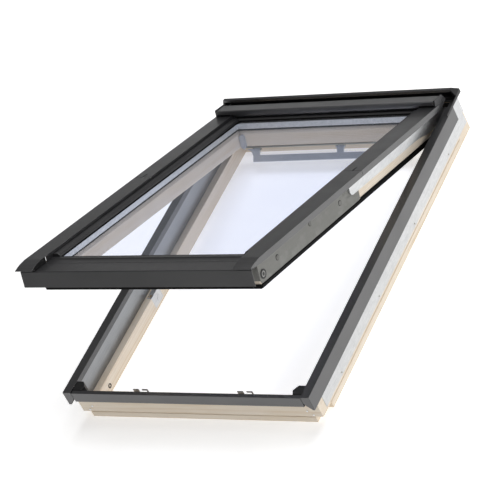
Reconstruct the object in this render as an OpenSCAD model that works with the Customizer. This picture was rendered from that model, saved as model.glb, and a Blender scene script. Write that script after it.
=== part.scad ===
// Top-hung pine roof window: a fixed frame, two lift arms hinged at the top, and a sash that
// turns on the arms. X runs across the window, +Y up the slope and +Z out of the roof.
// Z = 0 is the frame's room face. The sash is drawn closed and then swung open about the top hinge.

/* [Frame] */
// Outside width over the side claddings
frame_w = 780; // [660:10:1140]
// Outside height from the bottom cladding to the hood
frame_h = 1180; // [980:10:1400]
// Depth from the room face to the top of the claddings
frame_depth = 120; // [118:1:130]
// Height of the ledge that the sash closes above
ledge_z = 45; // [38:1:46]
// Thickness of the upright part of the frame members
upright_t = 16; // [14:1:18]

/* [Sash] */
// Width of a sash stile
stile_w = 42; // [38:1:50]
// Height of the sash timber
sash_wood_h = 70; // [68:1:72]
// Thickness of each glass pane
pane_t = 4; // [3:0.5:5]
// Gap between the two panes
pane_gap = 16; // [12:1:17]
// Opening angle of the sash at rest
open_angle = 20.3; // [0:0.1:45]

/* [Covers] */
// Sheet thickness of claddings and covers
sheet_t = 1.2; // [1:0.1:1.5]
// Width of the flat side covers
cover_w = 55; // [50:1:56]

/* [Hardware] */
// Thickness of the steel lift arms
arm_t = 4; // [3:0.5:4]
// Radius of the top hinge studs
stud_r = 4; // [3:0.25:5]
// Radius of the pivot pins
pivot_r = 3.2; // [2.5:0.1:3.4]
// Radial play of a running fit
run_gap = 0.08; // [0.04:0.01:0.1]
// Clear gap between pieces that pass each other
pass_gap = 1.5; // [1:0.1:2]

/* [Hidden] */
$fn = 48;

// frame edges
half_w = frame_w / 2;
half_h = frame_h / 2;
wood_x = half_w - 8;
reveal_x = half_w - 47;
upright_x = wood_x - upright_t;
bottom_y = -half_h + 25;
bottom_reveal_y = -half_h + 79;
top_y = half_h - 18;
top_reveal_y = half_h - 90;
wood_top_z = frame_depth - 8;
bottom_upright_z = frame_depth - 36;
notch_x = wood_x - 24;
groove_z = 20;
groove_d = 2.5;
lining_z = 12;
lining_w = 13;
cladding_drop = 46.5;
cladding_end_y = half_h - 65;
cladding_flat_w = 25.5;
liner_t = 1.5;
hood_z = frame_depth + 34;
hood_front_y = half_h - 30;

// closed sash
sash_x = reveal_x - 5;
seal_x = reveal_x - pass_gap;
stile_x = sash_x - stile_w;
sash_top = top_reveal_y - 6;
sash_bottom = bottom_reveal_y - 25;
rail_top_y = sash_top - 38;
rail_bottom_y = sash_bottom + 40;
sash_z = ledge_z + 2;
sash_wood_z = sash_z + sash_wood_h;
rebate = 14;
bed_z = sash_z + 52;
bed_t = 1;
pane_play = 1;
glass_z = bed_z + bed_t;
glass_top_z = glass_z + 2 * pane_t + pane_gap;
pane_x = stile_x + rebate - pane_play;
pane_top = rail_top_y + rebate - pane_play;
pane_bottom = rail_bottom_y - rebate + pane_play;
spacer_in = 8;
seal_w = 3.5;

// covers on the closed sash
cover_z = glass_top_z + 18;
cover_x = half_w - 22;
cover_in_x = cover_x - cover_w;
flange_h = 17.4;
seam_y = 5;
seam_gap = 1.2;
nose_y = sash_bottom - 70;
bottom_front_y = -half_h - 6;
bottom_plate_z = glass_top_z;
bottom_cover_x = cover_x - 7;

// moving axes
hinge_y = top_reveal_y + 20;
hinge_z = frame_depth - 20;
pivot_y = seam_y + 17;
pivot_z = cover_z - 7;
arm_x = reveal_x + 3;
arm_low_z = hinge_z - 11;
arm_high_z = hinge_z + 19;
bar_pin_y = rail_top_y + 7;
bar_pin_z = sash_z - 9.4;
flap_y = sash_top - 14;
flap_z = sash_wood_z + 4.6;

// sizes of small hardware
mount_hole_r = 2.5;
mount_rows = [-420, -140, 140, 420];
mount_z = 36;
bar_half = stile_x - 35;
bar_posts = [-bar_half + 11, 34, bar_half - 11];
bar_post = 19;
bar_lean = 245;
keeper_x = 166;
keeper_w = 48;
catch_y = -half_h + 432;
catch_l = 50;
catch_w = 16;
catch_t = 1.5;
plate_low_z = sash_z + 10;
plate_t = 1.5;
bush_y = sash_bottom + 18;
bush_z = sash_z + 31.4;
lock_pin_r = 3;
lock_pin_z = sash_z + 38;

wood = "#e3cfae";
dark = "#47474a";
grey = "#6f7072";
steel = "#d3d6d6";
black = "#1b1b1c";

// ---- helpers ----
module along_x(x0, x1) { translate([x0, 0, 0]) rotate([90, 0, 90]) linear_extrude(x1 - x0) children(); }
module along_y(y0, y1) { translate([0, y1, 0]) rotate([90, 0, 0]) linear_extrude(y1 - y0) children(); }
module left_side() { mirror([1, 0, 0]) children(); }
module both_sides() {
    children();
    mirror([1, 0, 0]) children();
}
module swung() {
    translate([0, hinge_y, hinge_z]) rotate([-open_angle, 0, 0]) translate([0, -hinge_y, -hinge_z]) children();
}
module rod_x(x0, x1, y, z, r) { translate([x0, y, z]) rotate([0, 90, 0]) cylinder(r = r, h = x1 - x0); }
module rod_y(y0, y1, x, z, r) { translate([x, y1, z]) rotate([90, 0, 0]) cylinder(r = r, h = y1 - y0); }
function bar_at(down, front) = [
    bar_pin_y + down * cos(bar_lean) + front * sin(bar_lean),
    bar_pin_z + down * sin(bar_lean) - front * cos(bar_lean)
];
module rect(a, b) { translate(a) square([b[0] - a[0], b[1] - a[1]]); }

// ---- frame timber ----
module jamb() {
    color(wood) difference() {
        union() {
            along_y(bottom_reveal_y, top_reveal_y) polygon([
                [reveal_x, 0], [reveal_x + 8, 0], [reveal_x + 8, lining_z],
                [reveal_x + 8 + lining_w, lining_z], [reveal_x + 8 + lining_w, 0], [wood_x, 0],
                [wood_x, groove_z - 1], [wood_x - groove_d, groove_z - 1],
                [wood_x - groove_d, groove_z + 1], [wood_x, groove_z + 1],
                [wood_x, ledge_z], [reveal_x, ledge_z]
            ]);
            along_y(bottom_y + upright_t, top_y - upright_t)
                rect([upright_x, ledge_z], [wood_x, wood_top_z]);
        }
        for (y = mount_rows) rod_x(wood_x - 30, wood_x + 1, y, mount_z, mount_hole_r);
        translate([reveal_x - 1, catch_y, ledge_z - catch_t]) cube([catch_w + 1, catch_l, catch_t + 1]);
        translate([reveal_x - 1, catch_y, ledge_z - 37]) cube([1 + catch_t, catch_l, 38]);
        translate([reveal_x + 3, catch_y + 4, ledge_z - 12]) cube([11, 12, 13]);
    }
}
module frame_jamb_right() { jamb(); }
module frame_jamb_left() { left_side() jamb(); }
module frame_rail_top() {
    color(wood) {
        along_x(-wood_x, wood_x) polygon([
            [top_reveal_y, 0], [top_y, 0], [top_y, wood_top_z], [top_y - upright_t, wood_top_z],
            [top_y - upright_t, ledge_z], [top_reveal_y, ledge_z]
        ]);
    }
}
module frame_rail_bottom() {
    color(wood) {
        along_x(-wood_x, wood_x) polygon([
            [bottom_reveal_y, groove_z + 1], [bottom_reveal_y, ledge_z],
            [bottom_y + upright_t, ledge_z], [bottom_y + upright_t, bottom_upright_z],
            [bottom_y, bottom_upright_z], [bottom_y, groove_z + 1]
        ]);
        along_x(-wood_x, wood_x)
            rect([bottom_y + groove_d, groove_z - 1], [bottom_reveal_y, groove_z + 1]);
        along_x(-notch_x, notch_x) rect([bottom_y, 0], [bottom_reveal_y, groove_z - 1]);
    }
}

// ---- frame metal ----
module jamb_liners() {
    color("#9a9b9d") both_sides() along_y(bottom_y + upright_t, top_y - upright_t)
        rect([upright_x - liner_t, ledge_z], [upright_x, wood_top_z - 4]);
}
module side_cladding() {
    inner_x = half_w - cladding_flat_w;
    color(grey) {
        along_y(-half_h, cladding_end_y) polygon([
            [inner_x, frame_depth], [half_w, frame_depth],
            [half_w, frame_depth - cladding_drop], [wood_x, frame_depth - cladding_drop],
            [wood_x, frame_depth - cladding_drop + sheet_t],
            [half_w - sheet_t, frame_depth - cladding_drop + sheet_t],
            [half_w - sheet_t, frame_depth - sheet_t], [inner_x, frame_depth - sheet_t]
        ]);
        along_y(bottom_y + 2, cladding_end_y)
            rect([inner_x - sheet_t, wood_top_z - 8], [inner_x, frame_depth]);
    }
}
module side_cladding_right() { side_cladding(); }
module side_cladding_left() { left_side() side_cladding(); }
module bottom_cladding() {
    front = -half_h;
    top = frame_depth - 2.7;
    low = frame_depth - 35;
    back = front + 12;
    end_x = half_w - cladding_flat_w - sheet_t - 0.3;
    color(grey) along_x(-end_x, end_x) polygon([
        [front, low], [front, top], [back, top], [back, top - 8], [back - sheet_t, top - 8],
        [back - sheet_t, top - sheet_t], [front + sheet_t, top - sheet_t],
        [front + sheet_t, low + sheet_t], [bottom_y, low + sheet_t], [bottom_y, low]
    ]);
}
module corner_blocks() {
    in_x = reveal_x - 13;
    out_x = half_w - cladding_flat_w - sheet_t - 0.3;
    back = bottom_y + upright_t + 4;
    front = -half_h + 12.3;
    color(black) both_sides() difference() {
        translate([0, 0, bottom_upright_z]) linear_extrude(frame_depth - 1 - bottom_upright_z) polygon([
            [in_x + 6, front], [out_x, front], [out_x, back - 1], [in_x + 12, back - 1], [in_x, front + 14]
        ]);
        along_x(in_x - 1, out_x + 1)
            rect([front - 1, bottom_upright_z - 1], [bottom_y, bottom_upright_z + 1 + sheet_t]);
    }
}
module top_hood() {
    t = 1.5;
    lip = 9;
    end_x = half_w - 11;
    low = frame_depth - 1;
    foot = wood_top_z;
    color(dark) along_x(-end_x, end_x) polygon([
        [half_h, low], [half_h, hood_z - 21.5], [half_h - 21, hood_z], [hood_front_y, hood_z],
        [hood_front_y, hood_z - lip], [hood_front_y + t, hood_z - lip], [hood_front_y + t, hood_z - t],
        [half_h - 21.6, hood_z - t], [half_h - t, hood_z - 22.1], [half_h - t, low + t],
        [top_y - 4, low + t], [top_y - 4, foot + t], [top_y - 13, foot + t], [top_y - 13, foot],
        [top_y - 2.5, foot], [top_y - 2.5, low]
    ]);
}
module hood_ends() {
    tail_y = half_h - 108;
    end_x = half_w - 11;
    color(black) both_sides() {
        hull() {
            along_x(end_x, end_x + 1) polygon([
                [half_h, frame_depth], [half_h, hood_z - 21.5], [half_h - 21, hood_z],
                [hood_front_y, hood_z], [hood_front_y, frame_depth]
            ]);
            along_x(half_w - 1, half_w) polygon([
                [half_h, frame_depth], [half_h, hood_z - 21.5], [hood_front_y, frame_depth + 10],
                [hood_front_y, frame_depth]
            ]);
        }
        along_x(half_w - 2.5, half_w) polygon([
            [hood_front_y, frame_depth], [hood_front_y, frame_depth + 10],
            [tail_y, frame_depth + 7], [tail_y, frame_depth]
        ]);
    }
}
module side_rail() {
    rail_t = 1.5;
    color(steel) difference() {
        union() {
            along_y(bottom_y + 30, half_h - 25) rect([wood_x, mount_z - 8], [wood_x + rail_t, mount_z + 34]);
            along_y(bottom_y + 30, half_h - 25)
                rect([wood_x, mount_z + 32.5], [wood_x + 4, mount_z + 34]);
        }
        for (y = mount_rows) rod_x(wood_x - 1, wood_x + 5, y, mount_z, mount_hole_r);
    }
}
module side_rail_right() { side_rail(); }
module side_rail_left() { left_side() side_rail(); }
module top_corner_plates() {
    color(steel) both_sides() {
        along_x(half_w - 4, half_w - 2.5)
            rect([cladding_end_y, frame_depth - 52], [half_h - 22, frame_depth]);
        along_x(wood_x, half_w - 4)
            rect([cladding_end_y, frame_depth - 46], [half_h - 22, frame_depth - 44]);
    }
}

// ---- fixed hardware ----
module hinge_brackets() {
    out_x = upright_x - liner_t;
    in_x = arm_x + arm_t + 1;
    color(dark) both_sides() {
        along_x(in_x, out_x) difference() {
            rect([hinge_y - 28, hinge_z - 22], [hinge_y + 24, wood_top_z - 8.2]);
            translate([hinge_y + 24, wood_top_z - 8.2]) circle(r = 9);
        }
        rod_x(arm_x - 2.6, in_x, hinge_y, hinge_z, stud_r);
    }
}
module stud_clips() {
    color(steel) both_sides() difference() {
        rod_x(arm_x - 1.9, arm_x - 0.7, hinge_y, hinge_z, stud_r + 2.5);
        rod_x(arm_x - 3, arm_x, hinge_y, hinge_z, stud_r);
    }
}
module arm_catches() {
    button_y = catch_y + 32;
    color(steel) both_sides() {
        difference() {
            translate([reveal_x, catch_y, ledge_z - catch_t]) cube([catch_w, catch_l, catch_t]);
            translate([reveal_x + 3, catch_y + 4, ledge_z - 3]) cube([11, 12, 4]);
        }
        translate([reveal_x, catch_y, ledge_z - 37]) cube([catch_t, catch_l, 37 - catch_t]);
        rod_x(reveal_x - 0.8, reveal_x, button_y, ledge_z - 24, 10);
    }
}
module cleaning_bush() {
    y = -half_h + 121;
    color(black) left_side() difference() {
        rod_x(reveal_x - 1.2, reveal_x, y, groove_z, 7);
        rod_x(reveal_x - 2, reveal_x + 1, y, groove_z, 3.6);
    }
}
module strike_plates() {
    y0 = bottom_y + upright_t;
    low = ledge_z + 15;
    high = frame_depth - 25;
    color(steel) for (side = [-1, 1]) along_y(y0, y0 + 2) difference() {
        rect([side * keeper_x - keeper_w / 2, low], [side * keeper_x + keeper_w / 2, high]);
        rect([side * keeper_x - 5, lock_pin_z - 6], [side * keeper_x + 5, high + 1]);
        rect([side * keeper_x - 1, lock_pin_z - 6], [side * keeper_x + 19, lock_pin_z + 5]);
    }
}
module corner_screws() {
    color(steel) both_sides() for (dz = [0, 14]) {
        rod_y(bottom_y - 1.2, bottom_y, wood_x - 26 - dz, groove_z + 8 + dz, 3);
    }
}

// ---- lift arms and what moves with them (drawn closed) ----
module lift_arm() {
    tail_r = (arm_high_z - arm_low_z) / 2;
    tail_y = pivot_y - 70 + tail_r;
    boss_r = 20;
    color(steel) difference() {
        along_x(arm_x, arm_x + arm_t) {
            translate([tail_y, arm_low_z + tail_r]) circle(r = tail_r);
            polygon([
                [tail_y, arm_low_z], [hinge_y - 180, arm_low_z], [hinge_y - 136, arm_low_z - 3],
                [hinge_y - 110, arm_low_z - 8], [hinge_y - 30, arm_low_z - 9.5],
                [hinge_y, hinge_z - boss_r], [hinge_y, hinge_z + boss_r], [hinge_y - 12, arm_high_z],
                [tail_y - tail_r, arm_high_z], [tail_y - tail_r, arm_high_z - tail_r]
            ]);
            translate([hinge_y, hinge_z]) circle(r = boss_r);
            for (y = [70, 240, 420])
                rect([y, arm_high_z - 1], [y + 30, cover_z - sheet_t]);
            rect([pivot_y - 7, arm_high_z - 1], [pivot_y + 7, pivot_z + 5.2]);
        }
        rod_x(arm_x - 1, arm_x + arm_t + 1, hinge_y, hinge_z, stud_r + run_gap);
        rod_x(arm_x - 1, arm_x + arm_t + 1, pivot_y, pivot_z, pivot_r);
    }
}
module lift_arm_right() { swung() lift_arm(); }
module lift_arm_left() { swung() left_side() lift_arm(); }
module upper_cover() {
    y0 = seam_y + seam_gap;
    y1 = sash_top - 12;
    color(dark) difference() {
        along_y(y0, y1) polygon([
            [cover_in_x, cover_z], [cover_x, cover_z], [cover_x, cover_z - flange_h],
            [cover_x - sheet_t, cover_z - flange_h], [cover_x - sheet_t, cover_z - sheet_t],
            [cover_in_x + sheet_t, cover_z - sheet_t], [cover_in_x + sheet_t, sash_wood_z + 3],
            [cover_in_x, sash_wood_z + 3]
        ]);
        translate([sash_x - 0.5, y0 - 1, cover_z - 5]) cube([4.2, pivot_y + 6 - y0 + 1, 10]);
        translate([cover_in_x - 1, y0 - 1, sash_wood_z])
            cube([sheet_t + 2, pivot_y - 8 - y0, cover_z - 14 - sash_wood_z]);
    }
}
module upper_cover_right() { swung() upper_cover(); }
module upper_cover_left() { swung() left_side() upper_cover(); }
module top_cover() {
    front = rail_top_y + 4;
    back = front + 46;
    top = cover_z + 18;
    t = 1.5;
    color(dark) swung() along_x(-(cover_x - 6), cover_x - 6) polygon([
        [front, top - 12], [front, top - 2], [front + 3, top], [back, top], [back, top - 10],
        [back - t, top - 10], [back - t, top - t], [front + 3.4, top - t], [front + t, top - 2.8],
        [front + t, top - 12]
    ]);
}
module top_cover_ends() {
    cover_end_y = sash_top - 12;
    front = rail_top_y + 8;
    color(grey) swung() both_sides() {
        along_x(cover_x - 6, cover_x - 2) polygon([
            [front, cover_z], [front, cover_z + 19.5], [front + 47, cover_z + 19.5],
            [front + 65, cover_z + 1], [front + 36, cover_z - 15],
            [cover_end_y, cover_z - 15], [cover_end_y, cover_z]
        ]);
        rod_x(cover_x - 2, cover_x - 1, front + 43, cover_z + 6, 3.2);
    }
}
module pivot_pins() {
    color(steel) swung() both_sides() {
        rod_x(seal_x - 1, arm_x + arm_t, pivot_y, pivot_z, pivot_r);
        rod_x(arm_x + arm_t, arm_x + arm_t + 1.5, pivot_y, pivot_z, pivot_r + 1.9);
    }
}

// ---- sash timber (drawn closed) ----
module stile() {
    color(wood) along_y(sash_bottom, sash_top) polygon([
        [stile_x + 3, sash_z], [sash_x - 3, sash_z], [sash_x, sash_z + 3], [sash_x, sash_wood_z],
        [stile_x + rebate, sash_wood_z], [stile_x + rebate, bed_z], [stile_x + 7, bed_z],
        [stile_x, bed_z - 11], [stile_x, sash_z + 3]
    ]);
}
module sash_stile_right() { swung() stile(); }
module sash_stile_left() { swung() left_side() stile(); }
module sash_rail_top() {
    color(wood) swung() along_x(-stile_x, stile_x) polygon([
        [rail_top_y + 3, sash_z], [sash_top, sash_z], [sash_top, sash_wood_z],
        [rail_top_y + rebate, sash_wood_z], [rail_top_y + rebate, bed_z], [rail_top_y + 7, bed_z],
        [rail_top_y, bed_z - 11], [rail_top_y, sash_z + 3]
    ]);
}
module sash_rail_bottom() {
    color(wood) swung() difference() {
        along_x(-stile_x, stile_x) polygon([
            [rail_bottom_y - 3, sash_z], [sash_bottom + 3, sash_z], [sash_bottom, sash_z + 3],
            [sash_bottom, sash_wood_z], [rail_bottom_y - rebate, sash_wood_z],
            [rail_bottom_y - rebate, bed_z], [rail_bottom_y - 7, bed_z],
            [rail_bottom_y, bed_z - 11], [rail_bottom_y, sash_z + 3]
        ]);
        along_x(-240, 240) rect([sash_bottom - 1, lock_pin_z - 7], [sash_bottom + 4, lock_pin_z + 7]);
    }
}

// ---- glazing ----
module pane(z) { translate([-pane_x, pane_bottom, z]) cube([2 * pane_x, pane_top - pane_bottom, pane_t]); }
module ring(inset, w, z, h) {
    translate([0, 0, z]) linear_extrude(h) difference() {
        rect([-pane_x + inset, pane_bottom + inset], [pane_x - inset, pane_top - inset]);
        rect([-pane_x + inset + w, pane_bottom + inset + w], [pane_x - inset - w, pane_top - inset - w]);
    }
}
module outer_pane() { color("#cfe0ea", 0.35) swung() pane(glass_top_z - pane_t); }
module inner_pane() { color("#cfe0ea", 0.35) swung() pane(glass_z); }
module glass_spacer() { color("#b9bdc1") swung() ring(spacer_in, 6, glass_z + pane_t, pane_gap); }
module edge_seal() { color(black) swung() ring(0, spacer_in, glass_z + pane_t, pane_gap); }
module bed_seal() { color(black) swung() ring(0, rebate - 1 - 7, bed_z, bed_t); }

// ---- beads and covers on the sash ----
module side_bead() {
    inner = stile_x - 8;
    color(dark) along_y(rail_bottom_y - 8, rail_top_y + 8) polygon([
        [inner, glass_top_z], [cover_in_x - 0.5, glass_top_z], [cover_in_x - 0.5, glass_top_z + 9],
        [cover_in_x - 4, glass_top_z + 11], [inner + 8, glass_top_z + 11], [inner + 3, glass_top_z + 8],
        [inner, glass_top_z + 2]
    ]);
}
module side_bead_right() { swung() side_bead(); }
module side_bead_left() { swung() left_side() side_bead(); }
module top_bead() {
    front = rail_top_y + 8;
    color(dark) swung() along_x(-(sash_x - 30), sash_x - 30) polygon([
        [front, glass_top_z], [front, glass_top_z + 3], [front + 4, glass_top_z + 8],
        [front + 9, glass_top_z + 8], [front + 9, glass_top_z]
    ]);
}
module lower_cover() {
    y1 = seam_y - 0.3;
    nose_run = 48;
    nose_drop = 10;
    // side view of the flange: flat, then falling to the nose
    module side_view(depth) {
        polygon([
            [y1, cover_z], [nose_y + nose_run, cover_z], [nose_y + nose_run * 0.5, cover_z - nose_drop * 0.3],
            [nose_y + nose_run * 0.2, cover_z - nose_drop * 0.65], [nose_y, cover_z - nose_drop],
            [nose_y, cover_z - nose_drop - sheet_t], [nose_y + nose_run * 0.2, cover_z - nose_drop - depth * 0.2],
            [nose_y + nose_run, cover_z - depth], [y1, cover_z - depth]
        ]);
    }
    color(dark) {
        along_x(cover_in_x, cover_x) difference() {
            side_view(sheet_t + 4);
            translate([0, -sheet_t]) side_view(flange_h * 2);
        }
        along_x(cover_x - sheet_t, cover_x) side_view(flange_h);
        along_x(cover_in_x, cover_in_x + sheet_t)
            rect([sash_bottom, sash_wood_z], [y1, cover_z - sheet_t]);
    }
}
module lower_cover_right() { swung() lower_cover(); }
module lower_cover_left() { swung() left_side() lower_cover(); }
module bottom_cover() {
    inner_y = rail_bottom_y - 9;
    top = bottom_plate_z;
    step = cover_in_x - 0.5;
    low = top - 46;
    back = sash_bottom - 0.2;
    color(dark) swung() {
        along_x(-bottom_cover_x, bottom_cover_x) polygon([
            [back, top - 1.5], [back, top], [bottom_front_y + 1.8, top], [bottom_front_y, top - 1.8],
            [bottom_front_y, low], [bottom_front_y + 1.5, low], [bottom_front_y + 1.5, top - 1.5]
        ]);
        along_x(-step, step) polygon([
            [inner_y, top], [inner_y, top + 3], [inner_y - 12, top + 3], [inner_y - 14, top + 0.4],
            [back - 6, top + 0.4], [back - 6, top - 5], [sash_bottom + 8, sash_wood_z],
            [rail_bottom_y - rebate - 2, sash_wood_z], [rail_bottom_y - rebate - 2, top]
        ]);
    }
}

// ---- sash sides ----
module side_plate() {
    y0 = sash_bottom;
    y1 = pivot_y - 9;
    high = sash_wood_z - 5;
    corner_r = 9;
    dish_y = pivot_y - 68;
    dish_r = 27;
    dish_h = 5.5;
    color("#8f908e") {
        difference() {
            along_x(sash_x, sash_x + plate_t) {
                rect([y0, plate_low_z + corner_r], [y1, high]);
                rect([y0 + corner_r, plate_low_z], [y1 - corner_r, plate_low_z + corner_r]);
                translate([y0 + corner_r, plate_low_z + corner_r]) circle(r = corner_r);
                translate([y1 - corner_r, plate_low_z + corner_r]) circle(r = corner_r);
            }
            rod_x(sash_x - 1, sash_x + 3, bush_y, bush_z, 5);
        }
        intersection() {
            translate([sash_x + plate_t, dish_y, high]) rotate([0, 90, 0])
                cylinder(r1 = dish_r, r2 = dish_r - 9, h = dish_h);
            along_x(sash_x, sash_x + plate_t + dish_h) rect([dish_y - dish_r, high - dish_r], [dish_y + dish_r, high]);
        }
        along_y(y0 - plate_t, y0) rect([sash_x - 34, plate_low_z + corner_r], [sash_x + plate_t, high]);
    }
}
module side_plate_right() { swung() side_plate(); }
module side_plate_left() { swung() left_side() side_plate(); }
module sash_seal() {
    low = ledge_z + 0.5;
    color(black) {
        along_y(sash_bottom, sash_top) polygon([
            [sash_x - 3.2, low], [seal_x - 2, low], [seal_x, low + 3], [seal_x, plate_low_z - 2],
            [sash_x + plate_t, plate_low_z], [sash_x, plate_low_z], [sash_x, sash_z + 3], [sash_x - 3, sash_z],
            [sash_x - 3.2, sash_z]
        ]);
        along_y(pivot_y - 8, sash_top) rect([sash_x, plate_low_z - 1], [sash_x + 1, plate_low_z + 3.5]);
    }
}
module sash_seal_right() { swung() sash_seal(); }
module sash_seal_left() { swung() left_side() sash_seal(); }
module sash_seal_ends() {
    color(black) swung() along_x(-sash_x, sash_x) {
        rect([sash_top, ledge_z + 0.5], [sash_top + seal_w, plate_low_z]);
        rect([sash_bottom - seal_w + 0.5, ledge_z + 0.5], [sash_bottom, plate_low_z]);
    }
}
module pivot_brackets() {
    t = 3;
    neck = pivot_r + 2;
    foot_y = pivot_y - 8.6;
    color(grey) swung() both_sides() difference() {
        along_x(sash_x, sash_x + t) {
            translate([pivot_y, pivot_z]) circle(r = neck);
            rect([pivot_y - neck, sash_wood_z - 30], [pivot_y + neck, pivot_z]);
            rect([foot_y, sash_wood_z - 31], [foot_y + 29, sash_wood_z - 1]);
        }
        rod_x(sash_x - 1, sash_x + t + 1, pivot_y, pivot_z, pivot_r + run_gap);
    }
}
module side_screws() {
    head_x = sash_x + plate_t;
    color(steel) swung() both_sides() {
        rod_x(head_x, head_x + 1.3, pivot_y - 114.7, sash_z + 43.2, 6.5);
        rod_x(head_x, head_x + 1.3, (sash_bottom + pivot_y) / 2, sash_z + 55, 5.5);
        rod_x(head_x, head_x + 1.3, sash_bottom + 97, sash_z + 41.5, 6.5);
    }
}
module side_bushes() {
    color(black) swung() both_sides() {
        difference() {
            rod_x(sash_x + plate_t, sash_x + plate_t + 1.6, bush_y, bush_z, 13);
            rod_x(sash_x, sash_x + 4, bush_y, bush_z, 8.5);
        }
        rod_x(sash_x + 0.02, sash_x + plate_t + 1.2, bush_y, bush_z, 5);
        rod_x(sash_x + plate_t, sash_x + plate_t + 0.6, bush_y, bush_z, 8.5);
    }
}

// ---- controls ----
module bar_channel() {
    color("#8e9089") swung()
        translate([-stile_x + 4, bar_pin_y - 7, sash_z - 4]) cube([2 * stile_x - 8, 18, 4]);
}
module bar_lugs() {
    color("#8e9089") swung() {
        for (x = bar_posts) {
            for (side = [-1, 1])
                translate([x + side * 12 - 1.5, bar_pin_y - 4, bar_pin_z - 3.6]) cube([3, 8, 9]);
            rod_x(x - 11, x + 11, bar_pin_y, bar_pin_z, 2);
        }
    }
}
module bar_arms() {
    color("#9a9b9d") swung() for (x = bar_posts) difference() {
        along_x(x - 10, x + 10) {
            translate([bar_pin_y, bar_pin_z]) circle(r = 4);
            polygon([
                bar_at(0, 3.8), bar_at(bar_post, 5.2), bar_at(bar_post, 1.2), bar_at(0, -3.8)
            ]);
        }
        rod_x(x - 11, x + 11, bar_pin_y, bar_pin_z, 2 + run_gap);
    }
}
module control_bar() {
    color("#9a9b9d") swung() along_x(-bar_half, bar_half) polygon([
        bar_at(bar_post, 5.6), bar_at(bar_post + 19, 5.6), bar_at(bar_post + 20, 4),
        bar_at(bar_post + 20, 0), bar_at(bar_post + 18.6, 0), bar_at(bar_post + 18, 3),
        bar_at(bar_post, 3.4)
    ]);
}
module vent_flap() {
    color(dark) swung() {
        rod_x(-280, 280, flap_y, flap_z, 2.2);
        along_x(-280, 280) polygon([
            [flap_y, flap_z - 1], [flap_y + 15, flap_z - 1.6], [flap_y + 16, flap_z + 1],
            [flap_y, flap_z + 1.6]
        ]);
        for (x = [-270, -90, 90, 270])
            translate([x - 4, flap_y - 1.5, sash_wood_z + 0.4]) cube([8, 3, flap_z - sash_wood_z - 1]);
    }
}
module barrel_housing() {
    color("#9a9b9d") swung() difference() {
        along_y(rail_top_y - 9, rail_top_y) {
            translate([-stile_x + 10, sash_z + 6]) circle(r = 8);
            translate([-stile_x + 10, sash_z + 32]) circle(r = 8);
            rect([-stile_x + 2, sash_z + 6], [-stile_x + 18, sash_z + 32]);
        }
        translate([-stile_x + 10, rail_top_y - 4.5, sash_z - 4])
            cylinder(r = 2.8 + run_gap, h = 26);
    }
}
module barrel_bolt() {
    color(steel) swung() translate([-stile_x + 10, rail_top_y - 4.5, sash_z - 6]) cylinder(r = 2.8, h = 22);
}
module handle_base() {
    color("#9a9b9d") swung() {
        translate([-45, rail_bottom_y, sash_z + 12]) cube([90, 4, 24]);
        for (side = [-1, 1]) {
            translate([side * 38 - 3, rail_bottom_y + 4, sash_z + 18]) cube([6, 12, 12]);
        }
        rod_x(-35, 35, rail_bottom_y + 11, sash_z + 24, 2.5);
    }
}
module handle() {
    y = rail_bottom_y + 11;
    z = sash_z + 24;
    color("#9a9b9d") swung() difference() {
        union() {
            rod_x(-33, 33, y, z, 5.5);
            along_x(-33, 33) polygon([[y, z + 5], [y + 22, z + 2], [y + 26, z - 3], [y + 22, z - 5], [y, z - 5]]);
        }
        rod_x(-34, 34, y, z, 2.5 + run_gap);
    }
}
module locking_bar() {
    color(steel) swung() {
        translate([-205, sash_bottom + 1, lock_pin_z - 6.5]) cube([410, 2.5, 13]);
        for (side = [-1, 1])
            rod_y(sash_bottom - 11.5, sash_bottom + 1, side * keeper_x, lock_pin_z, lock_pin_r);
    }
}

frame_jamb_left();
frame_jamb_right();
frame_rail_top();
frame_rail_bottom();
jamb_liners();
side_cladding_left();
side_cladding_right();
bottom_cladding();
corner_blocks();
top_hood();
hood_ends();
side_rail_left();
side_rail_right();
top_corner_plates();
hinge_brackets();
stud_clips();
arm_catches();
cleaning_bush();
strike_plates();
corner_screws();
lift_arm_left();
lift_arm_right();
upper_cover_left();
upper_cover_right();
top_cover();
top_cover_ends();
pivot_pins();
sash_stile_left();
sash_stile_right();
sash_rail_top();
sash_rail_bottom();
outer_pane();
inner_pane();
glass_spacer();
edge_seal();
bed_seal();
side_bead_left();
side_bead_right();
top_bead();
lower_cover_left();
lower_cover_right();
bottom_cover();
side_plate_left();
side_plate_right();
sash_seal_left();
sash_seal_right();
sash_seal_ends();
pivot_brackets();
side_screws();
side_bushes();
bar_channel();
bar_lugs();
control_bar();
bar_arms();
vent_flap();
barrel_housing();
barrel_bolt();
handle_base();
handle();
locking_bar();
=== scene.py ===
"""Looks of a top-hung pine roof window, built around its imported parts.

The axes are the part's own: X runs across the window, +Y up the slope and +Z out of the roof.
The sash stands open, so a shape drawn on the closed sash is turned about the top hinge.
"""

import bmesh
import bpy
from math import cos, pi, radians, sin
from mathutils import Matrix, Vector


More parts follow.
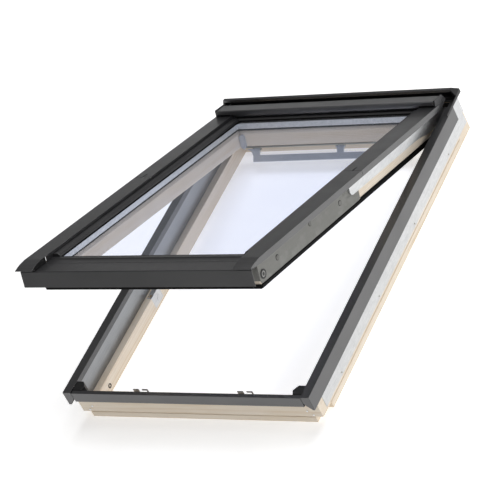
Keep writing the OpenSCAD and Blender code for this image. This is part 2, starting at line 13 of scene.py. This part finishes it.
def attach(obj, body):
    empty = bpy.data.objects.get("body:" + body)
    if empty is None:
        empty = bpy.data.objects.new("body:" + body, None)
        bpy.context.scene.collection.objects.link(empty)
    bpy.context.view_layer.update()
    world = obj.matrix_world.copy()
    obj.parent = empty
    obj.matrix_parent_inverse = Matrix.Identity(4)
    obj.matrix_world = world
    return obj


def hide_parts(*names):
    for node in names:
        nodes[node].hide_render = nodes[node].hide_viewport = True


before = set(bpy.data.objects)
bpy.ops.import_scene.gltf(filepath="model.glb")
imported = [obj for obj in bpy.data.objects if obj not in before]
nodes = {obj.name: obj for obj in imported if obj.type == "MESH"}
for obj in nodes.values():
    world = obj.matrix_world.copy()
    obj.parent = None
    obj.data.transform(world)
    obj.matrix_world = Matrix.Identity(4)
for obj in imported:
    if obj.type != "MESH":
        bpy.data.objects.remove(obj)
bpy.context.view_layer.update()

MM = 0.001
# how far the sash stands open, and the top hinge's place in millimetres
OPEN = radians(20.3)
HINGE = Vector((0, 520, 100))
ACROSS = radians(90)
BOARD_WIDTH = 23.5 * MM
USUAL_EDGE = 0.45

# ---------------------------------------------------------------- colours


def paint(hex_colour):
    """A linear colour from its sRGB hex code."""
    values = [int(hex_colour[i : i + 2], 16) / 255 for i in (1, 3, 5)]
    return tuple(v / 12.92 if v <= 0.04045 else ((v + 0.055) / 1.055) ** 2.4 for v in values) + (1.0,)


# ---------------------------------------------------------------- node helper


def add(tree, kind, inputs=None, **settings):
    """Adds a node with its settings. inputs maps a socket to a value or to another node's output."""
    node = tree.nodes.new(kind)
    for name, value in settings.items():
        setattr(node, name, value)
    for name, value in (inputs or {}).items():
        if isinstance(value, bpy.types.NodeSocket):
            tree.links.new(value, node.inputs[name])
        else:
            node.inputs[name].default_value = value
    return node


def new_material(name):
    """An empty material that returns its tree, its shader and its surface point in metres."""
    material = bpy.data.materials.new(name)
    material.use_nodes = True
    tree = material.node_tree
    tree.nodes.clear()
    shader = add(tree, "ShaderNodeBsdfPrincipled")
    output = add(tree, "ShaderNodeOutputMaterial")
    tree.links.new(shader.outputs[0], output.inputs[0])
    point = add(tree, "ShaderNodeTexCoord").outputs["Object"]
    return material, tree, shader, point


def blend_colours(tree, factor, first, second, kind="MIX"):
    """The colour between two colours or outputs at the factor."""
    mix = add(
        tree, "ShaderNodeMix", {0: factor, 6: first, 7: second}, data_type="RGBA", blend_type=kind
    )
    return mix.outputs[2]


def remap(tree, value, low, high, new_low, new_high):
    """A value moved from one range to another and held inside it."""
    return add(
        tree, "ShaderNodeMapRange", {0: value, 1: low, 2: high, 3: new_low, 4: new_high}
    ).outputs[0]


def noise_at(tree, point, millimetres, detail=3.0, roughness=0.5):
    """Noise whose features are about that many millimetres across."""
    return add(
        tree,
        "ShaderNodeTexNoise",
        {"Vector": point, "Scale": 1 / (millimetres * MM), "Detail": detail, "Roughness": roughness},
    ).outputs[0]


def stretched(tree, point, tilt=0.0, turn=0.0, scale=(1, 1, 1)):
    """The surface point turned about X by tilt and about Z by turn, then scaled on each axis."""
    turned = add(tree, "ShaderNodeMapping", {0: point, 2: (tilt, 0, turn)}).outputs[0]
    return add(tree, "ShaderNodeMapping", {0: turned, 3: scale}).outputs[0]


def relief(tree, shader, height, millimetres, strength=1.0):
    """Bump of that depth on the shader."""
    bump = add(
        tree, "ShaderNodeBump", {"Height": height, "Distance": millimetres * MM, "Strength": strength}
    )
    tree.links.new(bump.outputs[0], shader.inputs["Normal"])


# ---------------------------------------------------------------- materials


def lacquered_pine(name, tilt=0.0, turn=0.0, light="#ebdfcd", dark="#d0b794", shift=0.0):
    """Glued-up pine under clear satin lacquer. Late wood rings drawn round a far pith give long
    straight grain, each 24 mm board has its own tone and ring centre, and fine pores follow the grain."""
    material, tree, shader, point = new_material(name)
    along = stretched(tree, point, tilt, turn)
    parts = add(tree, "ShaderNodeSeparateXYZ", {0: along})
    depth = add(tree, "ShaderNodeMath", {0: parts.outputs[2], 1: BOARD_WIDTH}, operation="DIVIDE")
    board = add(tree, "ShaderNodeMath", {0: depth.outputs[0]}, operation="FLOOR")
    seed = add(tree, "ShaderNodeMath", {0: board.outputs[0], 1: shift}, operation="ADD")
    chance = add(tree, "ShaderNodeTexWhiteNoise", {"W": seed.outputs[0]}, noise_dimensions="1D")
    # how far each board's ring centre is moved, in metres
    step = add(
        tree,
        "ShaderNodeVectorMath",
        {0: chance.outputs["Color"], 1: (0.21, 0.9, 0.12)},
        operation="MULTIPLY",
    )
    moved = add(
        tree, "ShaderNodeVectorMath", {0: along, 1: step.outputs[0]}, operation="ADD"
    ).outputs[0]
    # rings 3.4 mm apart, drawn out along the grain so they waver slowly
    rings = add(
        tree,
        "ShaderNodeTexWave",
        {"Vector": stretched(tree, moved, scale=(1, 0.045, 1)), "Scale": 92, "Distortion": 5.5,
         "Detail": 2.5, "Detail Scale": 0.35},
        wave_type="RINGS",
        rings_direction="Y",
        wave_profile="SAW",
    ).outputs[1]
    late = remap(tree, rings, 0.35, 1.0, 0.0, 1.0)
    fibre = noise_at(tree, stretched(tree, moved, scale=(1, 0.02, 1)), 1.1, 4, 0.65)
    cloud = noise_at(tree, stretched(tree, moved, scale=(1, 0.12, 1)), 34, 2)
    colour = blend_colours(tree, remap(tree, late, 0, 1, 0.05, 0.62), paint(light), paint(dark))
    colour = blend_colours(tree, remap(tree, fibre, 0.35, 0.7, 0.0, 0.35), colour, paint("#c0a888"))
    colour = blend_colours(tree, remap(tree, cloud, 0.35, 0.7, 0.0, 0.5), colour, paint("#ede6dc"))
    colour = blend_colours(
        tree, remap(tree, chance.outputs[0], 0, 1, 0.0, 0.28), colour, paint("#dac9b0")
    )
    tree.links.new(colour, shader.inputs["Base Color"])
    tree.links.new(remap(tree, fibre, 0.3, 0.7, 0.34, 0.5), shader.inputs["Roughness"])
    shader.inputs["Coat Weight"].default_value = 0.25
    shader.inputs["Coat Roughness"].default_value = 0.22
    relief(tree, shader, fibre, 0.12, 0.5)
    return material


def powder_coat(name, colour, worn, rough=0.46):
    """Baked powder coat on aluminium. A fine orange peel breaks the shine, and broad faint dust
    lifts the tone here and there."""
    material, tree, shader, point = new_material(name)
    peel = noise_at(tree, point, 2.2, 2, 0.4)
    fleck = noise_at(tree, point, 0.7, 1)
    dust = noise_at(tree, point, 120, 4, 0.6)
    tone = blend_colours(tree, remap(tree, dust, 0.35, 0.75, 0.0, 0.4), paint(colour), paint(worn))
    tone = blend_colours(tree, remap(tree, fleck, 0.55, 0.8, 0.0, 0.25), tone, paint(worn))
    tree.links.new(tone, shader.inputs["Base Color"])
    tree.links.new(remap(tree, dust, 0.3, 0.7, rough - 0.06, rough + 0.08), shader.inputs["Roughness"])
    shader.inputs["Specular IOR Level"].default_value = 0.85
    shader.inputs["Coat Weight"].default_value = 0.6
    shader.inputs["Coat Roughness"].default_value = 0.25
    relief(tree, shader, peel, 0.08, 0.45)
    return material


def zinc_steel(name, light, dark, rough=0.36, spangle=7.0):
    """Zinc-plated pressed steel. Soft crystal patches and a fine rolled grain give the silvery,
    slightly uneven sheen of plating."""
    material, tree, shader, point = new_material(name)
    crystal = add(
        tree, "ShaderNodeTexVoronoi", {"Vector": point, "Scale": 1 / (spangle * MM), "Randomness": 0.9}
    )
    patch = add(tree, "ShaderNodeRGBToBW", {0: crystal.outputs["Color"]}).outputs[0]
    grain = noise_at(tree, stretched(tree, point, scale=(1, 0.04, 1)), 1.2, 3)
    tone = blend_colours(tree, remap(tree, patch, 0.2, 0.8, 0.0, 0.2), paint(light), paint(dark))
    tone = blend_colours(tree, remap(tree, grain, 0.4, 0.7, 0.0, 0.35), tone, paint(dark))
    tree.links.new(tone, shader.inputs["Base Color"])
    tree.links.new(remap(tree, grain, 0.3, 0.7, rough - 0.07, rough + 0.1), shader.inputs["Roughness"])
    shader.inputs["Metallic"].default_value = 1.0
    relief(tree, shader, grain, 0.05, 0.3)
    return material


def satin_aluminium(name, light, dark, tilt=0.0, turn=ACROSS, rough=0.34, metal=1.0):
    """Satin anodised aluminium extrusion. Fine die lines along the length spread the highlight."""
    material, tree, shader, point = new_material(name)
    lines = noise_at(tree, stretched(tree, point, tilt, turn, (1, 0.01, 1)), 0.9, 3, 0.6)
    cloud = noise_at(tree, point, 60, 2)
    tone = blend_colours(tree, remap(tree, lines, 0.35, 0.7, 0.0, 0.6), paint(light), paint(dark))
    tone = blend_colours(tree, remap(tree, cloud, 0.4, 0.7, 0.0, 0.25), tone, paint(dark))
    tree.links.new(tone, shader.inputs["Base Color"])
    tree.links.new(remap(tree, lines, 0.3, 0.7, rough - 0.06, rough + 0.1), shader.inputs["Roughness"])
    shader.inputs["Metallic"].default_value = metal
    relief(tree, shader, lines, 0.04, 0.3)
    return material


def coated_steel(name, colour, second):
    """Grey coated steel plate. The coat is thin and even with a faint rolled grain and rubbed spots."""
    material, tree, shader, point = new_material(name)
    grain = noise_at(tree, stretched(tree, point, OPEN, 0, (1, 0.06, 1)), 1.6, 3)
    rub = noise_at(tree, point, 45, 4, 0.65)
    tone = blend_colours(tree, remap(tree, grain, 0.35, 0.7, 0.0, 0.5), paint(colour), paint(second))
    tone = blend_colours(tree, remap(tree, rub, 0.5, 0.75, 0.0, 0.4), tone, paint("#9d9d9a"))
    tree.links.new(tone, shader.inputs["Base Color"])
    tree.links.new(remap(tree, rub, 0.3, 0.7, 0.36, 0.52), shader.inputs["Roughness"])
    shader.inputs["Metallic"].default_value = 0.35
    relief(tree, shader, grain, 0.05, 0.35)
    return material


def seal_rubber(name):
    """Extruded EPDM rubber. A faint pale bloom and a dull fine skin keep it from looking like paint."""
    material, tree, shader, point = new_material(name)
    skin = noise_at(tree, point, 1.4, 3, 0.6)
    bloom = noise_at(tree, point, 38, 4, 0.7)
    tone = blend_colours(
        tree, remap(tree, bloom, 0.4, 0.75, 0.0, 0.5), paint("#050505"), paint("#0c0c0c")
    )
    shader.inputs["Specular IOR Level"].default_value = 0.12
    tree.links.new(tone, shader.inputs["Base Color"])
    tree.links.new(remap(tree, skin, 0.3, 0.7, 0.55, 0.72), shader.inputs["Roughness"])
    relief(tree, shader, skin, 0.1, 0.5)
    return material


def moulded_plastic(name, colour, second, rough=0.42):
    """Moulded nylon. A fine spark-eroded texture gives a soft sheen with small sparkles."""
    material, tree, shader, point = new_material(name)
    cells = add(
        tree, "ShaderNodeTexVoronoi", {"Vector": point, "Scale": 1 / (1.1 * MM)}, feature="SMOOTH_F1"
    ).outputs[0]
    flow = noise_at(tree, point, 22, 3)
    tone = blend_colours(tree, remap(tree, flow, 0.35, 0.7, 0.0, 0.6), paint(colour), paint(second))
    tree.links.new(tone, shader.inputs["Base Color"])
    tree.links.new(remap(tree, flow, 0.3, 0.7, rough - 0.06, rough + 0.08), shader.inputs["Roughness"])
    relief(tree, shader, cells, 0.08, 0.4)
    return material


def clear_glass(name, film, amount):
    """Float glass drawn as a faint cool film over a clear body, with slow ripples in its shine, so the
    floor behind shows through with a slight tint."""
    material, tree, shader, point = new_material(name)
    smear = noise_at(tree, point, 150, 3, 0.55)
    ripple = noise_at(tree, point, 260, 1)
    tree.links.new(
        blend_colours(tree, smear, paint(film), paint("#f3f7fb")), shader.inputs["Base Color"]
    )
    tree.links.new(remap(tree, smear, 0.3, 0.7, 0.02, 0.06), shader.inputs["Roughness"])
    relief(tree, shader, ripple, 0.3, 0.15)
    clear = add(tree, "ShaderNodeBsdfTransparent", {0: paint("#f9fafd")})
    mixed = add(
        tree,
        "ShaderNodeMixShader",
        {0: remap(tree, smear, 0.3, 0.7, amount * 0.85, amount * 1.15), 1: clear.outputs[0],
         2: shader.outputs[0]},
    )
    output = [n for n in tree.nodes if n.type == "OUTPUT_MATERIAL"][0]
    tree.links.new(mixed.outputs[0], output.inputs[0])
    return material


def pierced_spacer(name):
    """Folded aluminium spacer between the panes, pierced with a row of fine holes for its drying
    beads. The holes are drawn 3 mm apart so that they show at this size."""
    material, tree, shader, point = new_material(name)
    along = stretched(tree, point, OPEN)
    holes = add(
        tree, "ShaderNodeTexVoronoi", {"Vector": along, "Scale": 1 / (3 * MM), "Randomness": 0.0}
    ).outputs[0]
    roll = noise_at(tree, along, 8, 3)
    tone = blend_colours(
        tree, remap(tree, roll, 0.3, 0.7, 0, 1), paint("#e4e7ea"), paint("#cfd3d7")
    )
    tone = blend_colours(tree, remap(tree, holes, 0.22, 0.3, 0.55, 0.0), tone, paint("#70757a"))
    tree.links.new(tone, shader.inputs["Base Color"])
    tree.links.new(remap(tree, roll, 0.3, 0.7, 0.32, 0.44), shader.inputs["Roughness"])
    shader.inputs["Metallic"].default_value = 0.45
    relief(tree, shader, holes, 0.1, 0.4)
    return material


pine_slope = lacquered_pine("lacquered pine along the frame")
pine_across = lacquered_pine("lacquered pine across the frame", turn=ACROSS, shift=7)
sash_pine_slope = lacquered_pine("lacquered pine along the sash", tilt=OPEN, shift=13)
sash_pine_across = lacquered_pine("lacquered pine across the sash", tilt=OPEN, turn=ACROSS, shift=29)
dark_coat = powder_coat("dark powder-coated aluminium", "#202022", "#2b2b2d", 0.38)
grey_coat = powder_coat("grey powder-coated aluminium", "#212124", "#2c2c2f", 0.38)
zinc = zinc_steel("zinc-plated steel", "#d3d4d5", "#a9abad")
bright_steel = zinc_steel("bright zinc screws", "#f1f2f3", "#cfd1d3", 0.24, 3.0)
plate_steel = coated_steel("grey coated steel", "#73736f", "#666662")
liner_aluminium = satin_aluminium("satin aluminium lining", "#a2a4a5", "#86888a", 0, 0)
bar_aluminium = satin_aluminium("satin anodised bar", "#ccd1d9", "#b1b7c0", OPEN, metal=0.5)
channel_aluminium = satin_aluminium("dull aluminium channel", "#a7a9a0", "#8e9088", OPEN)
rubber = seal_rubber("black EPDM rubber")
nylon = moulded_plastic("black moulded nylon", "#101011", "#19191a")
end_nylon = moulded_plastic("grey moulded nylon", "#29292b", "#353537", 0.38)
cup_nylon = moulded_plastic("pale moulded nylon", "#8f8f8c", "#a0a09c")
spacer_aluminium = pierced_spacer("pierced aluminium spacer")
outer_glass = clear_glass("outer float glass", "#eef2f9", 0.035)
inner_glass = clear_glass("inner float glass", "#eef2f9", 0.025)

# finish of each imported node
FINISH = {
    "frame_jamb_left": pine_slope,
    "frame_jamb_right": pine_slope,
    "frame_rail_top": pine_across,
    "frame_rail_bottom": pine_across,
    "jamb_liners": liner_aluminium,
    "side_cladding_left": grey_coat,
    "side_cladding_right": grey_coat,
    "bottom_cladding": grey_coat,
    "corner_blocks": nylon,
    "top_hood": dark_coat,
    "hood_ends": nylon,
    "side_rail_left": zinc,
    "side_rail_right": zinc,
    "top_corner_plates": zinc,
    "hinge_brackets": dark_coat,
    "stud_clips": bright_steel,
    "arm_catches": zinc,
    "cleaning_bush": nylon,
    "strike_plates": zinc,
    "corner_screws": bright_steel,
    "lift_arm_left": zinc,
    "lift_arm_right": zinc,
    "upper_cover_left": dark_coat,
    "upper_cover_right": dark_coat,
    "top_cover": dark_coat,
    "top_cover_ends": end_nylon,
    "pivot_pins": bright_steel,
    "sash_stile_left": sash_pine_slope,
    "sash_stile_right": sash_pine_slope,
    "sash_rail_top": sash_pine_across,
    "sash_rail_bottom": sash_pine_across,
    "outer_pane": outer_glass,
    "inner_pane": inner_glass,
    "glass_spacer": spacer_aluminium,
    "edge_seal": rubber,
    "bed_seal": rubber,
    "side_bead_left": dark_coat,
    "side_bead_right": dark_coat,
    "top_bead": dark_coat,
    "lower_cover_left": dark_coat,
    "lower_cover_right": dark_coat,
    "bottom_cover": dark_coat,
    "side_plate_left": plate_steel,
    "side_plate_right": plate_steel,
    "sash_seal_left": rubber,
    "sash_seal_right": rubber,
    "sash_seal_ends": rubber,
    "pivot_brackets": zinc,
    "side_screws": bright_steel,
    "side_bushes": nylon,
    "bar_channel": channel_aluminium,
    "bar_lugs": channel_aluminium,
    "control_bar": bar_aluminium,
    "bar_arms": bar_aluminium,
    "vent_flap": dark_coat,
    "barrel_housing": bar_aluminium,
    "barrel_bolt": bright_steel,
    "handle_base": bar_aluminium,
    "handle": bar_aluminium,
    "locking_bar": zinc,
}

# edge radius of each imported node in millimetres, where it isn't the usual one
EDGE = {
    "frame_jamb_left": 1.0,
    "frame_jamb_right": 1.0,
    "frame_rail_top": 1.0,
    "frame_rail_bottom": 1.0,
    "sash_stile_left": 1.2,
    "sash_stile_right": 1.2,
    "sash_rail_top": 1.2,
    "sash_rail_bottom": 1.2,
    "outer_pane": 0.6,
    "inner_pane": 0.6,
    "stud_clips": 0.2,
    "top_hood": 0.6,
    "side_bead_left": 0.8,
    "side_bead_right": 0.8,
}


def soften(thing, millimetres):
    """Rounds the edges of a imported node. Its loose triangles are merged and its flat faces joined
    first, so only real edges are rounded."""
    weld = thing.modifiers.new("join points", "WELD")
    weld.merge_threshold = 0.00002
    flat = thing.modifiers.new("join flat faces", "DECIMATE")
    flat.decimate_type = "DISSOLVE"
    flat.angle_limit = radians(0.6)
    edge = thing.modifiers.new("round edges", "BEVEL")
    edge.limit_method = "ANGLE"
    edge.angle_limit = radians(32)
    edge.width = millimetres * MM
    edge.segments = 2
    shine = thing.modifiers.new("even shading", "WEIGHTED_NORMAL")
    shine.keep_sharp = True


for name, thing in nodes.items():
    thing.data.materials.clear()
    thing.data.materials.append(FINISH[name])
    soften(thing, EDGE.get(name, USUAL_EDGE))


# ---------------------------------------------------------------- added pieces

CLOSED_TO_OPEN = Matrix.Translation(HINGE) @ Matrix.Rotation(-OPEN, 4, "X") @ Matrix.Translation(-HINGE)
TO_METRES = Matrix.Scale(MM, 4)
MIRROR = Matrix.Scale(-1, 4, Vector((1, 0, 0)))


def finish_piece(name, shape, on_sash, edge, finish, body, both=False):
    """Rounds the edges of a shape drawn in millimetres, copies it to the other side if asked, moves
    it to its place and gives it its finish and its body."""
    if edge:
        sharp = [e for e in shape.edges if len(e.link_faces) == 2 and e.calc_face_angle() > 0.5]
        bmesh.ops.bevel(
            shape, geom=sharp, offset=edge, segments=2, affect="EDGES", profile=0.5, material=-1
        )
    if both:
        twin = bmesh.ops.duplicate(shape, geom=shape.verts[:] + shape.edges[:] + shape.faces[:])
        moved = [v for v in twin["geom"] if isinstance(v, bmesh.types.BMVert)]
        bmesh.ops.transform(shape, matrix=MIRROR, verts=moved)
        turned = [f for f in twin["geom"] if isinstance(f, bmesh.types.BMFace)]
        bmesh.ops.reverse_faces(shape, faces=turned)
    place = TO_METRES @ (CLOSED_TO_OPEN if on_sash else Matrix.Identity(4))
    bmesh.ops.transform(shape, matrix=place, verts=shape.verts)
    bmesh.ops.recalc_face_normals(shape, faces=shape.faces)
    for face in shape.faces:
        face.smooth = True
    mesh = bpy.data.meshes.new(name)
    shape.to_mesh(mesh)
    shape.free()
    piece = bpy.data.objects.new(name, mesh)
    bpy.context.scene.collection.objects.link(piece)
    mesh.materials.append(finish)
    shine = piece.modifiers.new("even shading", "WEIGHTED_NORMAL")
    shine.keep_sharp = True
    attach(piece, body)
    return piece


def draw_strip(shape, section, start, end, axis="X"):
    """Extrudes a section along X, with (y, z) points, or along Y, with (x, z) points."""
    corners = [(start, a, b) if axis == "X" else (a, start, b) for a, b in section]
    run = Vector((end - start, 0, 0)) if axis == "X" else Vector((0, end - start, 0))
    face = shape.faces.new([shape.verts.new(c) for c in corners])
    grown = bmesh.ops.extrude_face_region(shape, geom=[face])["geom"]
    bmesh.ops.translate(shape, verts=[v for v in grown if isinstance(v, bmesh.types.BMVert)], vec=run)


def draw_turned(shape, outline, centre, steps=24):
    """Spins an outline of (reach along X, radius) points about an X axis through the centre."""
    x, y, z = centre
    points = [shape.verts.new((x + reach, y + radius, z)) for reach, radius in outline]
    line = [shape.edges.new(pair) for pair in zip(points, points[1:])]
    bmesh.ops.spin(
        shape, geom=points + line, cent=centre, axis=(1, 0, 0), dvec=(0, 0, 0), angle=2 * pi,
        steps=steps, use_merge=True, use_duplicate=False,
    )
    bmesh.ops.remove_doubles(shape, verts=shape.verts, dist=0.001)


# black end blocks under the noses of the side covers, which close the gap over the bottom cover
shape = bmesh.new()
draw_strip(
    shape,
    [(-536.3, 124.4), (-536.3, 140.2), (-558, 140.2), (-581, 137.2), (-594, 134), (-594, 124.4)],
    314.6, 365.6,
)
finish_piece("nose_blocks", shape, True, 0.8, nylon, "sash", both=True)

# end caps of the side claddings
shape = bmesh.new()
draw_strip(
    shape,
    [(364.2, 118.7), (388.7, 118.7), (388.7, 74.9), (383, 74.9), (370, 88), (364.2, 97)],
    -589.9, -588.4, "Y",
)
finish_piece("cladding_end_caps", shape, False, 0.4, grey_coat, "frame", both=True)

# rolled lips on the front edges of the side covers
shape = bmesh.new()
draw_strip(
    shape, [(-607.4, 129.6), (-607.4, 131.8), (-605.2, 132.2), (-604.6, 130.2), (-605.4, 129.2)],
    312.4, 368.4,
)
finish_piece("nose_lips", shape, True, 0.4, dark_coat, "sash", both=True)

# sloping apron that closes the space between the cross cover and the bead above the glass
shape = bmesh.new()
draw_strip(
    shape,
    [(462.6, 149), (464, 149), (465.2, 143), (471, 141.4), (475.6, 133.4), (475.6, 132.2),
     (474, 132.2), (470, 140), (463.8, 141.8)],
    -311.8, 311.8,
)
finish_piece("top_apron", shape, True, 0.4, dark_coat, "lift_arms")

# black foam strip on the inner face of the frame's top member: partly a real seal, partly painted shade
# that darkens the wood under the hood
shape = bmesh.new()
draw_strip(
    shape,
    [(552.6, 50), (552, 60), (552, 100), (553, 110), (555.9, 110.6), (555.9, 50)],
    -364.2, 364.2,
)
draw_strip(shape, [(555.4, 112.1), (555.4, 113.3), (558.8, 113.3), (558.8, 112.1)], -366.3, 366.3)
finish_piece("top_foam_and_painted_shade", shape, False, 0.8, rubber, "frame")

# dark sheets over the jambs' top ends, beside the hood
shape = bmesh.new()
draw_strip(
    shape, [(366.5, 112.2), (366.5, 113.4), (385.8, 113.4), (385.8, 112.2)], 526, 558.8, "Y"
)
finish_piece("jamb_end_sheets", shape, False, 0.3, dark_coat, "frame", both=True)

# soft seals along the glass, against the beads
shape = bmesh.new()
draw_strip(
    shape,
    [(284.6, 124.1), (284.4, 125.4), (286, 127.2), (287.9, 127.2), (287.9, 124.1)],
    -505, 463, "Y",
)
finish_piece("glass_side_seals", shape, True, 0.3, rubber, "sash", both=True)
shape = bmesh.new()
draw_strip(
    shape,
    [(460.6, 124.1), (460.4, 125.4), (462, 127.6), (463.9, 127.6), (463.9, 124.1)],
    -284, 284,
)
draw_strip(
    shape,
    [(-504.9, 124.1), (-504.9, 127.2), (-503, 127), (-501.4, 125.4), (-501.6, 124.1)],
    -284, 284,
)
finish_piece("glass_end_seals", shape, True, 0.3, rubber, "sash")

# soft lips under the inner pane, on the chamfer of the sash timber
shape = bmesh.new()
draw_strip(shape, [(300.2, 99.8), (303.3, 99.8), (301.2, 96.2), (299.4, 97.4)], -500, 460, "Y")
finish_piece("inner_side_lips", shape, True, 0.2, rubber, "sash", both=True)
shape = bmesh.new()
draw_strip(shape, [(460.2, 99.8), (463.3, 99.8), (461.2, 96.2), (459.4, 97.4)], -300, 300)
draw_strip(shape, [(-500.2, 99.8), (-503.3, 99.8), (-501.2, 96.2), (-499.4, 97.4)], -300, 300)
finish_piece("inner_end_lips", shape, True, 0.2, rubber, "sash")

# flared webs where the control bar's arms meet their pins, which lean back by this angle
LEAN = radians(245)
BAR_PIN = (463, 37.6)


def on_bar(down, front):
    """A (y, z) place on the control bar: so far down from its pin and so far to its front."""
    y, z = BAR_PIN
    return (y + down * cos(LEAN) + front * sin(LEAN), z + down * sin(LEAN) - front * cos(LEAN))


def draw_web(shape, outline):
    """A web 2 mm thick from (x, down) points."""
    front = [shape.verts.new((x, *on_bar(down, 5.1))) for x, down in outline]
    face = shape.faces.new(front)
    grown = bmesh.ops.extrude_face_region(shape, geom=[face])["geom"]
    y0, z0 = on_bar(0, 0)
    y1, z1 = on_bar(0, -2.0)
    bmesh.ops.translate(
        shape, verts=[v for v in grown if isinstance(v, bmesh.types.BMVert)], vec=(0, y1 - y0, z1 - z0)
    )


shape = bmesh.new()
for side in (-1, 1):
    draw_web(
        shape,
        [(side * x, down) for x, down in (
            (282, 0), (281, 2), (274, 4), (269, 7.5), (265.5, 12), (263, 17), (261, 21),
            (259.8, 21), (259.8, 0))],
    )
for side in (-1, 1):
    draw_web(
        shape,
        [(34 + side * x, down) for x, down in (
            (18, 0), (17, 1.6), (13.6, 4), (11.6, 8), (10.8, 14), (10.6, 20), (9.8, 20), (9.8, 0))],
    )
finish_piece("bar_webs", shape, True, 0.3, bar_aluminium, "control_bar")

# (y, z, head radius) of the screws on a side plate, and the plate's outer face
SCREWS = ((-92.7, 90.2, 6.5), (-257, 102, 5.5), (-439, 88.5, 6.5))
PLATE_FACE = 339.5

# round-headed screws on the side plates, each with a sunk recess
shape = bmesh.new()
for y, z, radius in SCREWS:
    draw_turned(
        shape,
        [(0, 0), (0, radius), (0.5, radius), (1.2, radius * 0.86), (1.7, radius * 0.6),
         (1.85, radius * 0.36), (1.7, radius * 0.32), (0.7, radius * 0.28), (0.6, 0)],
        (PLATE_FACE, y, z),
    )
screws = finish_piece("round_screws", shape, True, 0, plate_steel, "sash", both=True)
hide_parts("side_screws")

# black rings under the screws, which paint the shadow round their heads, and the pale cups in the side
# bushes
shape = bmesh.new()
for y, z, radius in SCREWS:
    draw_turned(
        shape,
        [(0.02, radius - 0.6), (0.02, radius + 1.3), (0.4, radius + 1.2), (0.5, radius - 0.2)],
        (PLATE_FACE, y, z),
    )
finish_piece("screw_shadow_rings", shape, True, 0, rubber, "sash", both=True)
shape = bmesh.new()
draw_turned(
    shape, [(0.62, 5.1), (1.3, 5.4), (1.45, 6.2), (1.3, 7.9), (0.62, 8.4)], (PLATE_FACE, -518, 78.4), 36
)
finish_piece("bush_cups", shape, True, 0, cup_nylon, "sash", both=True)


# ---------------------------------------------------------------- camera, light and floor


def studio_camera():
    """The three-quarter view from the right and above."""
    lens = bpy.data.cameras.new("studio camera")
    lens.lens = 203.98
    lens.sensor_width = 36
    lens.clip_end = 40
    camera = bpy.data.objects.new("studio camera", lens)
    bpy.context.scene.collection.objects.link(camera)
    right = Vector((0.84209, 0.37898, -0.38375))
    up = Vector((0.01313, 0.69690, 0.71705))
    back = Vector((0.53918, -0.60886, 0.58188))
    camera.matrix_world = Matrix(
        (
            (right.x, up.x, back.x, 3.9954),
            (right.y, up.y, back.y, -4.6069),
            (right.z, up.z, back.z, 4.5210),
            (0, 0, 0, 1),
        )
    )
    bpy.context.scene.camera = camera


def soft_light(name, place, target, size, watts):
    """A square soft light at a place, facing a target."""
    data = bpy.data.lights.new(name, "AREA")
    data.shape = "SQUARE"
    data.size = size
    data.energy = watts
    lamp = bpy.data.objects.new(name, data)
    lamp.location = place
    lamp.rotation_mode = "QUATERNION"
    lamp.rotation_quaternion = (Vector(target) - Vector(place)).to_track_quat("-Z", "Y")
    bpy.context.scene.collection.objects.link(lamp)


def studio():
    """A pale floor, an even pale sky and three soft lights."""
    world = bpy.data.worlds.new("pale studio")
    world.use_nodes = True
    tree = world.node_tree
    tree.nodes.clear()
    seen = add(tree, "ShaderNodeLightPath").outputs["Is Camera Ray"]
    sky = add(
        tree, "ShaderNodeBackground", {0: paint("#ffffff"), 1: remap(tree, seen, 0, 1, 0.17, 1.0)}
    )
    add(tree, "ShaderNodeOutputWorld", {0: sky.outputs[0]})
    bpy.context.scene.world = world
    bpy.context.scene.view_settings.view_transform = "Standard"
    soft_light("key from the right", (4.3, -0.9, 1.5), (0, 0, 0.25), 2.2, 72)
    soft_light("fill from the front", (-0.7, -4.3, 1.4), (0, 0, 0.25), 2.4, 16)
    soft_light("top light", (0.3, 1.4, 4.4), (0, 0, 0), 3.2, 130)
    mesh = bpy.data.meshes.new("studio floor")
    shape = bmesh.new()
    bmesh.ops.create_grid(shape, x_segments=2, y_segments=2, size=2.6)
    bmesh.ops.translate(shape, verts=shape.verts, vec=(0, 0, -0.001))
    shape.to_mesh(mesh)
    shape.free()
    floor = bpy.data.objects.new("studio floor", mesh)
    bpy.context.scene.collection.objects.link(floor)
    material, tree, shader, point = new_material("white studio paper")
    fibre = noise_at(tree, point, 3, 3)
    tree.links.new(
        blend_colours(tree, fibre, paint("#fbfbfb"), paint("#ffffff")), shader.inputs["Base Color"]
    )
    shader.inputs["Roughness"].default_value = 0.9
    shader.inputs["Emission Color"].default_value = paint("#ffffff")
    shader.inputs["Emission Strength"].default_value = 0.48
    floor.data.materials.append(material)


studio_camera()
studio()
